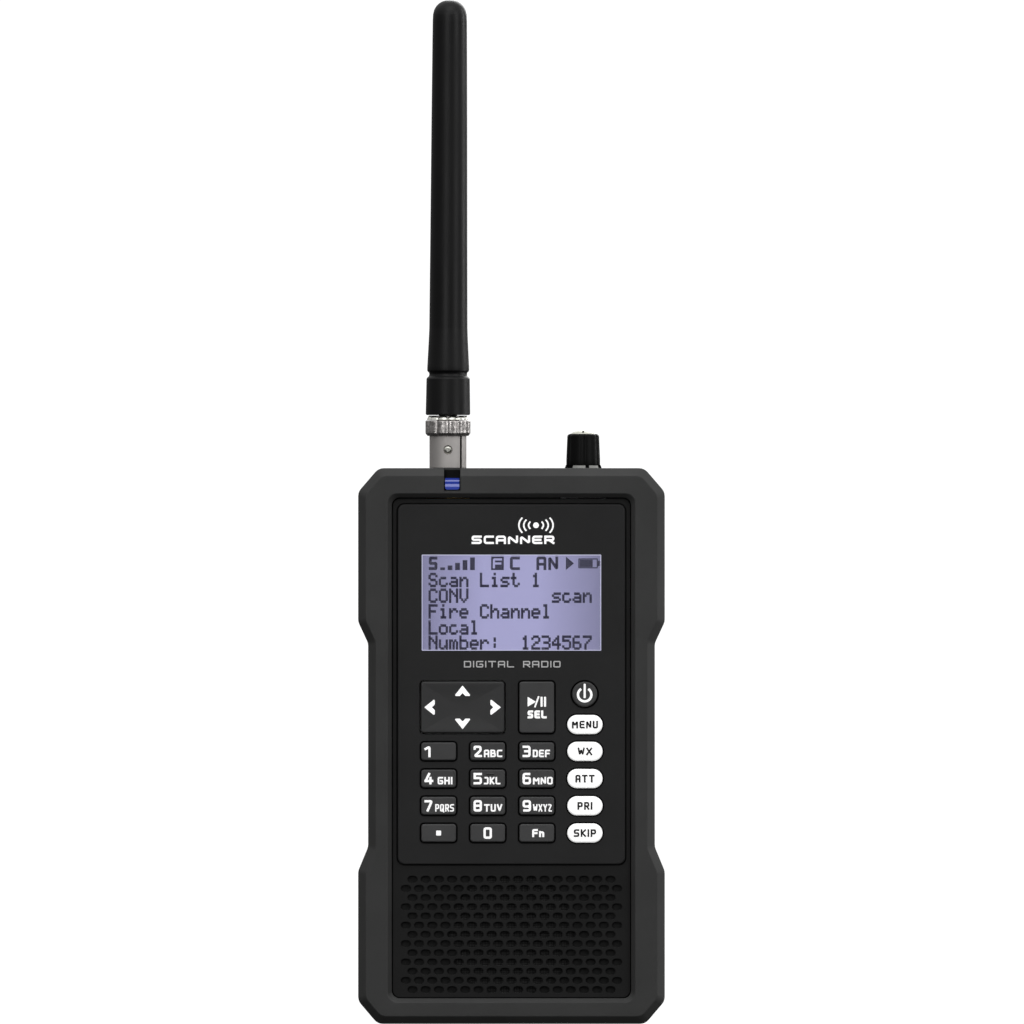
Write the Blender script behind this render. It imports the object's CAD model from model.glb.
"""Looks of a handheld police scanner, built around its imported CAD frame.

Lengths in the tables below are millimetres in the frame's axes: X to the right of the keypad,
Y to the back, Z up. Meshes are scaled to metres when they are made.
"""

import math

import bmesh
import bpy
from mathutils import Matrix, Vector


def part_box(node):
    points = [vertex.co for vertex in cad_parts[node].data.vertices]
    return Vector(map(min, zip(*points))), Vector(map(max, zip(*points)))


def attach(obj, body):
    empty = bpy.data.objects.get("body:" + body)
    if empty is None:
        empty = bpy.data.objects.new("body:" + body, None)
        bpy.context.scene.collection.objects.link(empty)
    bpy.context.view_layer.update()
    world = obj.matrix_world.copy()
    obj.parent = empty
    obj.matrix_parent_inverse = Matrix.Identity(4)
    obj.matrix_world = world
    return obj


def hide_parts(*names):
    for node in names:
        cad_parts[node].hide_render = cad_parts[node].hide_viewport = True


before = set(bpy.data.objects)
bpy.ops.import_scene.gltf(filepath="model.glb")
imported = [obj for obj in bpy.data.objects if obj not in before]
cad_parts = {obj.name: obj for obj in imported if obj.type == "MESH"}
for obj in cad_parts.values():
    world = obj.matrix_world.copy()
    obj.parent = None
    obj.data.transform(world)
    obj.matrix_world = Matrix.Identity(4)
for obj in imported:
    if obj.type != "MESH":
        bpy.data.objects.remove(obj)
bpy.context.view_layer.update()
MM = 0.001

# ---------------------------------------------------------------- shared sizes, as in the CAD
FRONT = -18.0
BACK = 18.0
BUMPER_BACK = -8.0
PARTING = -4.0
PARTING_GAP = 0.15
HALF_WIDTH = 40.0
WAIST_HALF = 37.4
HEIGHT = 145.0
CORNER_RADIUS = 3.0
PANEL_FRONT = -16.5
PLATE_FRONT = -15.9
SHAFT_Y = 3.5


def box_mm(name):
    """Lowest and highest corner of a CAD part's box, in millimetres."""
    low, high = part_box(name)
    return low / MM, high / MM


def centre_mm(name):
    """Middle of a CAD part's box, in millimetres."""
    low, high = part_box(name)
    return (low + high) / 2 / MM


def face_of(name):
    """Front view of a CAD part's box, as (x0, x1, z0, z1)."""
    low, high = box_mm(name)
    return (low.x, high.x, low.z, high.z)


def side_of(name):
    """Side view of a CAD part's box, as (y0, y1, z0, z1)."""
    low, high = box_mm(name)
    return (low.y, high.y, low.z, high.z)


# ---------------------------------------------------------------- outlines in the X-Z plane
def inset_corners(corners, inset):
    """Corners of an anticlockwise outline, moved inwards by a distance."""
    lines = []
    for (x, z), (next_x, next_z) in zip(corners, corners[1:] + corners[:1]):
        length = math.hypot(next_x - x, next_z - z)
        normal = (-(next_z - z) / length, (next_x - x) / length)
        lines.append((normal, normal[0] * x + normal[1] * z + inset))
    moved = []
    for before, after in zip(lines[-1:] + lines[:-1], lines):
        (a, b), first = before
        (c, d), second = after
        scale = a * d - b * c
        moved.append(((first * d - b * second) / scale, (a * second - first * c) / scale))
    return moved


def arc_corner(before, corner, after, radius, arc_step):
    """Points of the arc that rounds one corner."""
    x, z = corner
    angle_in = math.atan2(z - before[1], x - before[0])
    turn = math.atan2(after[1] - z, after[0] - x) - angle_in
    turn = math.atan2(math.sin(turn), math.cos(turn))
    reach = radius * math.tan(abs(turn) / 2)
    side = math.copysign(radius, turn)
    centre_x = x - math.cos(angle_in) * reach - math.sin(angle_in) * side
    centre_z = z - math.sin(angle_in) * reach + math.cos(angle_in) * side
    steps = max(1, round(abs(turn) / math.radians(arc_step)))
    points = []
    for k in range(steps + 1):
        angle = angle_in + turn * k / steps
        points.append((centre_x + math.sin(angle) * side, centre_z - math.cos(angle) * side))
    return points


def rounded(corners, radius, arc_step=12):
    """A closed outline with every corner turned into an arc."""
    points = []
    for before, corner, after in zip(corners[-1:] + corners[:-1], corners, corners[1:] + corners[:1]):
        points += arc_corner(before, corner, after, radius, arc_step)
    return points


def soft_path(points, radius, arc_step=18):
    """An open polyline with its inner corners rounded."""
    path = [points[0]]
    for before, corner, after in zip(points, points[1:], points[2:]):
        path += arc_corner(before, corner, after, radius, arc_step)
    return path + [points[-1]]


def rectangle(x0, x1, z0, z1, radius=0.0, arc_step=15):
    corners = [(x0, z0), (x1, z0), (x1, z1), (x0, z1)]
    return rounded(corners, radius, arc_step) if radius > 0 else corners


def grown(area, grow, *rounding):
    """A rectangle of (x0, x1, z0, z1), grown on all sides. A negative growth makes it smaller."""
    x0, x1, z0, z1 = area
    return rectangle(x0 - grow, x1 + grow, z0 - grow, z1 + grow, *rounding)


def circle(x, z, radius, sides=48):
    angles = [2 * math.pi * i / sides for i in range(sides)]
    return [(x + radius * math.cos(a), z + radius * math.sin(a)) for a in angles]


def arc(x, z, reach_x, reach_z, start, sweep, steps):
    """Points along part of an oval, from an angle and through another, in degrees."""
    angles = [math.radians(start + sweep * step / steps) for step in range(steps + 1)]
    return [(x + reach_x * math.cos(angle), z + reach_z * math.sin(angle)) for angle in angles]


def obround(x, z, width, height, steps=5):
    """A slot with round ends, wider than it is high."""
    radius = height / 2
    reach = width / 2 - radius
    points = []
    for side, start in ((1, -90), (-1, 90)):
        for k in range(steps + 1):
            angle = math.radians(start + 180 * k / steps)
            points.append((x + side * reach + radius * math.cos(angle), z + radius * math.sin(angle)))
    return points


# Corners of the body's right side from the foot up: chamfer, waist, chamfer.
RIGHT_CORNERS = [(34.9, 0.0), (40.0, 6.0), (40.0, 39.9), (37.4, 46.2)]
RIGHT_CORNERS += [(37.4, 99.3), (40.0, 104.9), (40.0, 138.8), (34.65, 145.0)]
BODY_CORNERS = RIGHT_CORNERS + [(-x, z) for x, z in reversed(RIGHT_CORNERS)]


def body_outline(inset=0.0, radius=CORNER_RADIUS):
    return rounded(inset_corners(BODY_CORNERS, inset), radius)


# ---------------------------------------------------------------- mesh building
class Shape:
    """A mesh under construction, in millimetres."""

    def __init__(self):
        self.mesh = bmesh.new()

    def ring(self, y, outline):
        return [self.mesh.verts.new((x, y, z)) for x, z in outline]

    def loop(self, points):
        return [self.mesh.verts.new(point) for point in points]

    def bridge(self, first, second):
        for i in range(len(first)):
            j = (i + 1) % len(first)
            self.mesh.faces.new((first[i], first[j], second[j], second[i]))

    def tube(self, rings):
        for first, second in zip(rings, rings[1:]):
            self.bridge(first, second)

    def cap(self, ring):
        self.mesh.faces.new(ring)

    def skin(self, rings):
        """A tube that is closed at both ends."""
        self.tube(rings)
        self.cap(rings[0])
        self.cap(rings[-1])

    def hoop(self, rings):
        """A tube whose last ring is joined to its first."""
        self.tube(rings)
        self.bridge(rings[-1], rings[0])

    def fill(self, rings):
        """Flat face between an outer ring and the rings of its holes."""
        edges = []
        for ring in rings:
            for i, vertex in enumerate(ring):
                pair = (vertex, ring[(i + 1) % len(ring)])
                edges.append(self.mesh.edges.get(pair) or self.mesh.edges.new(pair))
        bmesh.ops.triangle_fill(self.mesh, use_beauty=True, edges=edges)

    def pierce(self, outer, holes, front, back):
        """Front and back faces of a plate with holes. Its outer rings run from back to front."""
        rims = [[self.ring(y, hole) for y in (front, back)] for hole in holes]
        for rim in rims:
            self.bridge(*rim)
        self.fill([outer[-1]] + [rim[0] for rim in rims])
        self.fill([outer[0]] + [rim[1] for rim in rims])

    def fan(self, ring, tip):
        point = self.mesh.verts.new(tip)
        for i in range(len(ring)):
            self.mesh.faces.new((ring[i], ring[(i + 1) % len(ring)], point))

    def move(self, x=0.0, y=0.0, z=0.0):
        bmesh.ops.translate(self.mesh, verts=self.mesh.verts, vec=(x, y, z))
        return self

    def turn(self, degrees, axis, about=(0, 0, 0)):
        matrix = Matrix.Rotation(math.radians(degrees), 3, axis)
        bmesh.ops.rotate(self.mesh, verts=self.mesh.verts, cent=about, matrix=matrix)
        return self

    def data(self, name):
        bmesh.ops.recalc_face_normals(self.mesh, faces=self.mesh.faces)
        bmesh.ops.scale(self.mesh, verts=self.mesh.verts, vec=(MM, MM, MM))
        mesh = bpy.data.meshes.new(name)
        self.mesh.to_mesh(mesh)
        self.mesh.free()
        return mesh


def make_object(name, mesh):
    piece = bpy.data.objects.new(name, mesh)
    bpy.context.scene.collection.objects.link(piece)
    return piece


def shade(mesh, angle=32):
    """Smooth shading that stays sharp over edges steeper than an angle."""
    mesh.polygons.foreach_set("use_smooth", [True] * len(mesh.polygons))
    mesh.set_sharp_from_angle(angle=math.radians(angle))


def weigh_normals(piece):
    """Keeps large flat faces flat beside their rounded edges."""
    modifier = piece.modifiers.new("flat_faces", "WEIGHTED_NORMAL")
    modifier.keep_sharp = True
    modifier.weight = 100


def piece_of(name, shape, material, body, replaces=(), angle=32, bevel=0.0):
    """A finished piece: shaded, given its material and fixed to its CAD body."""
    piece = make_object(name, shape if isinstance(shape, bpy.types.Mesh) else shape.data(name))
    if bevel:
        edges = piece.modifiers.new("eased_edges", "BEVEL")
        edges.width = bevel * MM
        edges.segments = 3
        edges.limit_method = "ANGLE"
        edges.angle_limit = math.radians(angle)
        edges.harden_normals = False
    shade(piece.data, 180 if bevel else angle)
    weigh_normals(piece)
    piece.data.materials.append(material)
    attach(piece, body)
    if replaces:
        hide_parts(*replaces)
    return piece


def carve(mesh, *tools):
    """The mesh of a solid with tool solids cut out of it."""
    base = make_object("carved", mesh)
    cutters = []
    for tool in tools:
        cutter = make_object("cutter", tool.data("cutter"))
        cutters.append(cutter)
        modifier = base.modifiers.new("cut", "BOOLEAN")
        modifier.operation = "DIFFERENCE"
        modifier.solver = "EXACT"
        modifier.object = cutter
    bpy.context.view_layer.update()
    graph = bpy.context.evaluated_depsgraph_get()
    result = bpy.data.meshes.new_from_object(base.evaluated_get(graph))
    for leftover in (base, *cutters):
        bpy.data.objects.remove(leftover)
    result.materials.clear()
    return result


def solid(rings):
    """A closed skin over outlines [(y, outline), ...] with flat ends."""
    shape = Shape()
    shape.skin([shape.ring(y, outline) for y, outline in rings])
    return shape


def slab(outline, y0, y1):
    """An outline made solid from one depth to another."""
    return solid([(y0, outline), (y1, outline)])


def merged(*shapes):
    """One shape holding the meshes of several."""
    whole = shapes[0]
    for other in shapes[1:]:
        scrap = bpy.data.meshes.new("scrap")
        other.mesh.to_mesh(scrap)
        other.mesh.free()
        whole.mesh.from_mesh(scrap)
        bpy.data.meshes.remove(scrap)
    return whole


def block(x0, x1, y0, y1, z0, z1):
    return slab(rectangle(x0, x1, z0, z1), y0, y1)


def lathe(profile, sides=64, wave=None):
    """Profile [(radius, height), ...] turned about Z. wave(angle, radius) scales the radius.

    An end on the axis closes to a point, and a profile off the axis closes on itself.
    """
    shape = Shape()
    on_axis = [i for i, (radius, _) in enumerate(profile) if radius == 0]
    rings = []
    for radius, height in profile:
        if radius == 0:
            rings.append(None)
            continue
        points = []
        for k in range(sides):
            angle = 2 * math.pi * k / sides
            reach = radius * (wave(angle, radius) if wave else 1.0)
            points.append((reach * math.cos(angle), reach * math.sin(angle), height))
        rings.append(shape.loop(points))
    drawn = [ring for ring in rings if ring]
    shape.tube(drawn)
    if not on_axis:
        shape.bridge(drawn[-1], drawn[0])
    for i in on_axis:
        near = drawn[0] if i == 0 else drawn[-1]
        shape.fan(near, (0, 0, profile[i][1]))
    return shape


# ---------------------------------------------------------------- materials
class Look:
    """A procedural material: a Principled shader with fine surface detail in object space."""

    def __init__(self, name, color, roughness, metallic=0.0, **sockets):
        self.material = bpy.data.materials.new(name)
        self.material.use_nodes = True
        self.tree = self.material.node_tree
        self.shader = self.tree.nodes["Principled BSDF"]
        self.color = color
        self.roughness = roughness
        self.shader.inputs["Base Color"].default_value = (*color, 1)
        self.shader.inputs["Roughness"].default_value = roughness
        self.shader.inputs["Metallic"].default_value = metallic
        for socket, value in sockets.items():
            self.shader.inputs[socket.replace("_", " ")].default_value = value
        self.place = self.tree.nodes.new("ShaderNodeTexCoord").outputs["Object"]
        self.normal = None

    def node(self, kind, **settings):
        made = self.tree.nodes.new(kind)
        for key, value in settings.items():
            setattr(made, key, value)
        return made

    def link(self, source, target):
        self.tree.links.new(source, target)

    def noise(self, scale, detail=3.0, stretch=(1, 1, 1)):
        """Noise with a number of features to the metre, stretched along an axis if wanted."""
        mapping = self.node("ShaderNodeMapping")
        mapping.inputs["Scale"].default_value = stretch
        self.link(self.place, mapping.inputs["Vector"])
        texture = self.node("ShaderNodeTexNoise")
        texture.inputs["Scale"].default_value = scale
        texture.inputs["Detail"].default_value = detail
        self.link(mapping.outputs["Vector"], texture.inputs["Vector"])
        return texture.outputs["Fac"]

    def ranged(self, source, low, high, start=0.3, end=0.7):
        spread = self.node("ShaderNodeMapRange")
        spread.inputs["From Min"].default_value = start
        spread.inputs["From Max"].default_value = end
        spread.inputs["To Min"].default_value = low
        spread.inputs["To Max"].default_value = high
        self.link(source, spread.inputs["Value"])
        return spread.outputs["Result"]

    def tinted(self, share):
        return tuple(channel * share for channel in self.color)

    def ramp(self, low_color, high_color, start=0.0, end=1.0):
        """A colour ramp from one colour to another."""
        ramp = self.node("ShaderNodeValToRGB")
        elements = ramp.color_ramp.elements
        for element, color, position in zip(elements, (low_color, high_color), (start, end)):
            element.color = (*color, 1)
            element.position = position
        return ramp

    def math(self, operation, *sources):
        made = self.node("ShaderNodeMath", operation=operation)
        for i, source in enumerate(sources):
            self.link(source, made.inputs[i])
        return made.outputs["Value"]

    def dimmed(self, color, share):
        """A colour output scaled by a share that varies over the surface."""
        product = self.node("ShaderNodeVectorMath", operation="SCALE")
        self.link(color, product.inputs[0])
        self.link(share, product.inputs["Scale"])
        return product.outputs["Vector"]

    def apart(self):
        """The place on the surface as separate X, Y and Z outputs."""
        parts = self.node("ShaderNodeSeparateXYZ")
        self.link(self.place, parts.inputs["Vector"])
        return parts.outputs

    def mottled(self, scale, amount):
        """Colour that drifts a little lighter and darker."""
        ramp = self.ramp(self.tinted(1 - amount), self.tinted(1 + amount), 0.32, 0.68)
        self.link(self.noise(scale), ramp.inputs["Fac"])
        self.link(ramp.outputs["Color"], self.shader.inputs["Base Color"])
        return self

    def deepened(self, y0, y1, share):
        """Colour that darkens towards a share of itself between two depths."""
        fade = self.ranged(self.apart()["Y"], 1.0, share, y0 * MM, y1 * MM)
        target = self.shader.inputs["Base Color"]
        self.link(self.dimmed(target.links[0].from_socket, fade), target)
        return self

    def woven(self, pitch, strength):
        """Over-and-under threads in the X-Z plane, a pitch in millimetres apart."""
        heights = []
        for direction in ("X", "Z"):
            wave = self.node("ShaderNodeTexWave", bands_direction=direction)
            wave.inputs["Scale"].default_value = 2 * math.pi / (20 * pitch * MM)
            wave.inputs["Distortion"].default_value = 0.4
            self.link(self.place, wave.inputs["Vector"])
            heights.append(wave.outputs["Fac"])
        weave = self.math("MULTIPLY", *heights)
        ramp = self.ramp(self.tinted(0.15), self.tinted(1.8))
        self.link(weave, ramp.inputs["Fac"])
        self.link(ramp.outputs["Color"], self.shader.inputs["Base Color"])
        return self.bumped(weave, strength, 0.05)

    def smudged(self, scale, amount):
        """Roughness that varies as handled surfaces do."""
        source = self.noise(scale, detail=4.0)
        result = self.ranged(source, self.roughness - amount, self.roughness + amount)
        self.link(result, self.shader.inputs["Roughness"])
        return self

    def bumped(self, height, strength, distance):
        """Adds a layer of bump, given as a height output."""
        bump = self.node("ShaderNodeBump")
        bump.inputs["Strength"].default_value = strength
        bump.inputs["Distance"].default_value = distance * MM
        self.link(height, bump.inputs["Height"])
        if self.normal:
            self.link(self.normal, bump.inputs["Normal"])
        self.normal = bump.outputs["Normal"]
        self.link(self.normal, self.shader.inputs["Normal"])
        return self

    def grained(self, grains=3200, strength=0.25, distance=0.02):
        """Spark-eroded mould texture."""
        return self.bumped(self.noise(grains, detail=2.0), strength, distance)

    def brushed(self, scale=900, stretch=(1, 1, 0.03), strength=0.2):
        """Fine machining or polishing lines."""
        return self.bumped(self.noise(scale, 2.0, stretch), strength, 0.01)


def plastic(name, color, roughness, specular, grain=0.25, grains=3200, amount=0.12):
    look = Look(name, color, roughness, Specular_IOR_Level=specular)
    return look.mottled(70, amount).smudged(45, 0.06).grained(grains, grain).material


def metal(name, color, roughness, stretch=(1, 1, 0.03), strength=0.2):
    look = Look(name, color, roughness, metallic=1.0)
    return look.mottled(120, 0.06).smudged(160, 0.05).brushed(900, stretch, strength).material


def grey(value):
    return (value, value, value)


BUMPER = plastic("bumper_rubber", (0.0229, 0.0231, 0.0227), 0.62, 0.42, 0.32, 2600)
CASE = plastic("case_plastic", (0.012, 0.012, 0.0122), 0.6, 0.35, 0.4, 2400)
PANEL = plastic("panel_plastic", (0.0098, 0.0098, 0.0101), 0.5, 0.24, 0.12, 3600)
GRILLE = Look("recess_plastic", grey(0.0083), 0.55, Specular_IOR_Level=0.14)
GRILLE = GRILLE.mottled(70, 0.12).deepened(-15.75, -14.9, 0.5).smudged(45, 0.06).grained(3000, 0.2).material
KEY = plastic("key_plastic", (0.0378, 0.0378, 0.0384), 0.55, 0.4, 0.2, 3600)
PAD = plastic("pad_plastic", (0.0228, 0.0228, 0.0233), 0.55, 0.36, 0.2, 3600)
PILL = Look("pill_plastic", (0.93, 0.93, 0.92), 0.35, Emission_Color=(1, 1, 1, 1), Emission_Strength=0.38)
PILL = PILL.smudged(45, 0.06).grained(3000, 0.05).material
INK = Look("legend_ink", (0.9, 0.9, 0.9), 0.5, Emission_Color=(1, 1, 1, 1), Emission_Strength=0.34)
INK = INK.smudged(45, 0.05).grained(3600, 0.05).material
MAT = plastic("keypad_silicone", grey(0.16), 0.65, 0.4, 0.15, 1500)
CONE = plastic("speaker_frame", grey(0.02), 0.5, 0.4, 0.2, 1500)
SKIRT = plastic("key_skirt", grey(0.004), 0.6, 0.15, 0.1, 2400)
SOFT_INK = plastic("grey_ink", grey(0.5), 0.5, 0.3, 0.05, 3600, 0.02)
DARK_INK = plastic("dark_ink", grey(0.012), 0.5, 0.3, 0.05, 3600, 0.05)
ANTENNA = plastic("antenna_rubber", (0.0016, 0.0016, 0.0018), 0.42, 0.23, 0.35, 1500)
KNOB = plastic("knob_plastic", grey(0.0025), 0.4, 0.08, 0.1, 3000)
GASKET = plastic("port_rubber", grey(0.014), 0.7, 0.35, 0.3, 2600)
CLOTH = Look("speaker_cloth", grey(0.026), 0.85, Specular_IOR_Level=0.12).woven(0.42, 0.6).material
BOARD = plastic("board_mask", (0.01, 0.07, 0.025), 0.4, 0.5, 0.1, 900)
WRAP = plastic("cell_wrap", (0.02, 0.03, 0.045), 0.3, 0.5, 0.05, 900)
NICKEL = metal("nickel_plate", (0.45, 0.431, 0.418), 0.62)
STEEL = metal("plain_steel", grey(0.45), 0.35)
BRIGHT = metal("bright_metal", (0.6, 0.6, 0.55), 0.2, (1, 1, 1), 0.05)
BRASS = metal("brass", (0.6, 0.43, 0.17), 0.35)
PAINTED = plastic("painted_steel", grey(0.012), 0.42, 0.45, 0.15, 1800)
KNURLED = Look("knurled_nickel", (0.42, 0.4, 0.39), 0.34, metallic=1.0)
KNURLED = KNURLED.mottled(1400, 0.35).smudged(900, 0.12).grained(1500, 0.8, 0.12).material
DISC = Look("pale_metal", (0.61, 0.61, 0.535), 0.45, metallic=0.5)
DISC = DISC.mottled(300, 0.05).grained(2400, 0.1).material
SATIN = Look("satin_metal", (0.2, 0.2, 0.19), 0.5, metallic=0.2)
SATIN = SATIN.mottled(300, 0.06).grained(2400, 0.1).material
DULL = plastic("ring_plastic", grey(0.002), 0.8, 0.0, 0.05, 2400)
BLUE_LENS = Look("alert_lens", (0.012, 0.032, 0.24), 0.1, Specular_IOR_Level=1.0)
BLUE_LENS.shader.inputs["Emission Color"].default_value = (0.04, 0.07, 0.6, 1)
BLUE_LENS.shader.inputs["Emission Strength"].default_value = 0.17
BLUE_LENS = BLUE_LENS.mottled(300, 0.08).smudged(200, 0.04).material


# ---------------------------------------------------------------- bumper and front case
OPENING = (-31.2, 31.2, 6.7, 137.3)
LIGHT_NOTCH = (-17.6, -13.3, 139.1)
NOTCH_BACK = -14.5


def make_bumper():
    shape = Shape()
    edge = [(BUMPER_BACK, 0.45), (BUMPER_BACK, 0), (-16.3, 0), (FRONT, 2.0), (FRONT, 3.2)]
    outer = [shape.ring(y, body_outline(inset)) for y, inset in soft_path(edge, 0.45)]
    rim = [(FRONT, 2.3), (FRONT, 1.1), (-16.9, 0), (BUMPER_BACK, 0)]
    inner = [shape.ring(y, grown(OPENING, grow, 2.0 + grow / 2)) for y, grow in soft_path(rim, 0.35)]
    shape.tube(outer)
    shape.tube(inner)
    shape.fill([outer[-1], inner[0]])
    shape.fill([outer[0], inner[-1]])
    left, right, low = LIGHT_NOTCH
    notch = block(left, right, FRONT - 1, NOTCH_BACK, low, HEIGHT + 1)
    mesh = carve(shape.data("bumper"), notch)
    piece_of("bumper_overmould", mesh, BUMPER, "radio", ["bumper_frame"])


SPEAKER_CENTRE = (0.0, 23.3)
SPEAKER_DISC = 16.2
GRILLE_BACK = -14.8
HOLE_ROWS = 13
HOLE_COLUMNS = 16
HOLE_TOP = 37.7
HOLE_PITCH = (3.444, 2.4)
HOLE_SIZE = (2.6, 1.74)
HOLE_EASE = 0.1
DIMPLE_DEPTH = 1.0
PLATE_AREA = (-30.95, 30.95, 6.95, 137.05)
PLATE_RADIUS = 1.9
PANEL_POCKET = (-30.0, 30.0, 41.3, 135.9)
# The inner plate's windows behind the keypad and the display.
KEYPAD_WINDOW = (-25.8, 25.8, 46, 91.6)
DISPLAY_WINDOW = (-26.6, 26.6, 95, 124.8)
POCKET_FLOOR = -14.7
INNER_PLATE_BACK = -13.2


def grille_holes():
    """Centre of every sound hole, and whether it goes right through to the speaker."""
    for row in range(HOLE_ROWS):
        z = HOLE_TOP - row * HOLE_PITCH[1]
        count = HOLE_COLUMNS + row % 2
        for column in range(count):
            x = (column - (count - 1) / 2) * HOLE_PITCH[0]
            reach = math.hypot(x - SPEAKER_CENTRE[0], z - SPEAKER_CENTRE[1])
            yield x, z, reach < SPEAKER_DISC


def make_recess():
    """The recessed plate: a pocket for the panel above, and the sound holes below."""
    shape = Shape()
    front_rings = []
    back_rings = []
    for outline in (rectangle(*PLATE_AREA, PLATE_RADIUS), rectangle(*PANEL_POCKET, 2.1)):
        front_rings.append(shape.ring(PLATE_FRONT, outline))
        back_rings.append(shape.ring(GRILLE_BACK, outline))
        shape.bridge(front_rings[-1], back_rings[-1])
    for x, z, through in grille_holes():
        width, height = HOLE_SIZE
        rim = shape.ring(PLATE_FRONT, obround(x, z, width + 2 * HOLE_EASE, height + 2 * HOLE_EASE))
        lip = shape.ring(PLATE_FRONT + HOLE_EASE, obround(x, z, width, height))
        depth = GRILLE_BACK if through else PLATE_FRONT + DIMPLE_DEPTH
        floor = shape.ring(depth, obround(x, z, width, height))
        shape.tube([rim, lip, floor])
        front_rings.append(rim)
        if through:
            back_rings.append(floor)
        else:
            shape.cap(floor)
    shape.fill(front_rings)
    shape.fill(back_rings)
    piece_of("recess_plate", shape, GRILLE, "radio", ["front_case"])


def make_inner_plate():
    """The ledge behind the panel that carries the display and the keypad."""
    outline = grown(PLATE_AREA, -0.05, PLATE_RADIUS)
    windows = [rectangle(*KEYPAD_WINDOW, 1.5), rectangle(*DISPLAY_WINDOW, 0.5)]
    windows.append(circle(*SPEAKER_CENTRE, SPEAKER_DISC, 64))
    shape = Shape()
    outer = [shape.ring(y, outline) for y in (INNER_PLATE_BACK, POCKET_FLOOR)]
    shape.bridge(*outer)
    shape.pierce(outer, windows, POCKET_FLOOR, INNER_PLATE_BACK)
    piece_of("inner_plate", shape, GRILLE, "radio", ["front_case"])


def make_side_band():
    """The band of the front case that shows between the bumper and the rear case."""
    back = PARTING - PARTING_GAP
    edge = [(-7.7, 2.2), (-7.7, 0), (back, 0), (back, 2.2)]
    shape = Shape()
    shape.hoop([shape.ring(y, body_outline(inset)) for y, inset in soft_path(edge, 0.3)])
    piece_of("side_band", shape, CASE, "radio", ["front_case"])


def make_speaker():
    """Woven cloth behind the sound holes. The speaker behind it is the CAD part."""
    low, high = box_mm("speaker_cloth")
    cloth = slab(circle(*SPEAKER_CENTRE, (high.x - low.x) / 2 + 0.5, 64), GRILLE_BACK + 0.02, high.y)
    piece_of("acoustic_cloth", cloth, CLOTH, "radio", ["speaker_cloth"])


SEALS = ((BUMPER_BACK - 0.2, -7.5), (PARTING - PARTING_GAP - 0.2, PARTING + PARTING_GAP + 0.2))
SEAL_INSET = 1.1
SEAL_WIDTH = 1.6


def make_seals():
    """Sealing cords in the seams, a little below the surface."""
    cords = []
    for y0, y1 in SEALS:
        shape = Shape()
        corners = ((y0, 0), (y1, 0), (y1, SEAL_WIDTH), (y0, SEAL_WIDTH))
        shape.hoop([shape.ring(y, body_outline(SEAL_INSET + inset, 2.0)) for y, inset in corners])
        cords.append(shape)
    piece_of("seam_seals", merged(*cords), GASKET, "radio", ["front_case"])


make_bumper()
make_recess()
make_inner_plate()
make_side_band()
make_seals()
make_speaker()


# ---------------------------------------------------------------- face panel
KEY_GAP = 0.42
PANEL_BACK = -15.0
PANEL_AREA = (-29.7, 29.7, 41.6, 135.6)
PANEL_RADIUS = 1.85
WINDOW = (-23.5, 23.5, 97.3, 122.5)
ROUND_KEYS = ("power_key",)
PILL_KEYS = ("menu_key", "wx_key", "att_key", "pri_key", "skip_key")
NUMBER_KEYS = tuple(f"key_{name}" for name in "1 2 3 4 5 6 7 8 9 dot 0 fn".split())
BLOCK_KEYS = NUMBER_KEYS + ("sel_key",)
FLANGE = 0.6


def key_outline(name, grow=0.0):
    """Outline of a key's cap, from its CAD box, which is a flange wider all round."""
    low, high = box_mm(name)
    flange = 0.0 if name == "nav_pad" else FLANGE
    grow -= flange
    if name in ROUND_KEYS:
        middle = centre_mm(name)
        return circle(middle.x, middle.z, (high.x - low.x) / 2 + grow, 64)
    height = high.z - low.z + 2 * grow
    radius = height / 2 - 0.01 if name in PILL_KEYS else 0.8 + grow + flange
    return grown(face_of(name), grow, radius, 10)


def make_panel():
    shape = Shape()
    edge = [(PANEL_BACK, 0), (PANEL_FRONT, 0), (PANEL_FRONT, 0.6)]
    outer = [
        shape.ring(y, grown(PANEL_AREA, -inset, PANEL_RADIUS - inset)) for y, inset in soft_path(edge, 0.3)
    ]
    shape.tube(outer)
    holes = [rectangle(*WINDOW, 0.5)]
    holes += [key_outline(name, KEY_GAP) for name in (*BLOCK_KEYS, *ROUND_KEYS, *PILL_KEYS, "nav_pad")]
    shape.pierce(outer, holes, PANEL_FRONT, PANEL_BACK)
    piece_of("control_panel", shape, PANEL, "radio", ["face_panel"])


# ---------------------------------------------------------------- keys
KEY_FRONT = -17.2
KEY_BACK = -13.9
KEY_FLANGE_FRONT = -14.7
NAV_FRONT = -17.0
NAV_BACK = -14.6


def rounded_cap(outline_of, front, back, edge, dish=0.0, dish_steps=6, trough=False):
    """A key cap with a rounded front edge. Its front may be dished, or hollowed as a trough."""
    shape = Shape()
    path = soft_path([(back, 0), (front, 0), (front, edge * 1.6)], edge, 15)
    rings = [shape.ring(y, outline_of(-inset)) for y, inset in path]
    shape.tube(rings)
    shape.cap(rings[0])
    last = rings[-1]
    middle = [sum(v.co[i] for v in last) / len(last) for i in (0, 2)]
    if dish:
        reach = [max(abs(v.co[i] - middle[k]) for v in last) for k, i in enumerate((0, 2))]
        for step in range(1, dish_steps):
            share = 1 - step / dish_steps
            points = []
            for vertex in rings[-1]:
                x = (vertex.co.x - middle[0]) * share
                z = (vertex.co.z - middle[1]) * share
                depth = dish * (1 - share**2)
                if trough:
                    depth = dish * (1 - (x / reach[0]) ** 8) * (1 - (z / reach[1]) ** 2)
                points.append((middle[0] + x, front + depth, middle[1] + z))
            inner = shape.loop(points)
            shape.bridge(last, inner)
            last = inner
        shape.fan(last, (middle[0], front + dish, middle[1]))
    else:
        shape.cap(last)
    return shape


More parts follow.
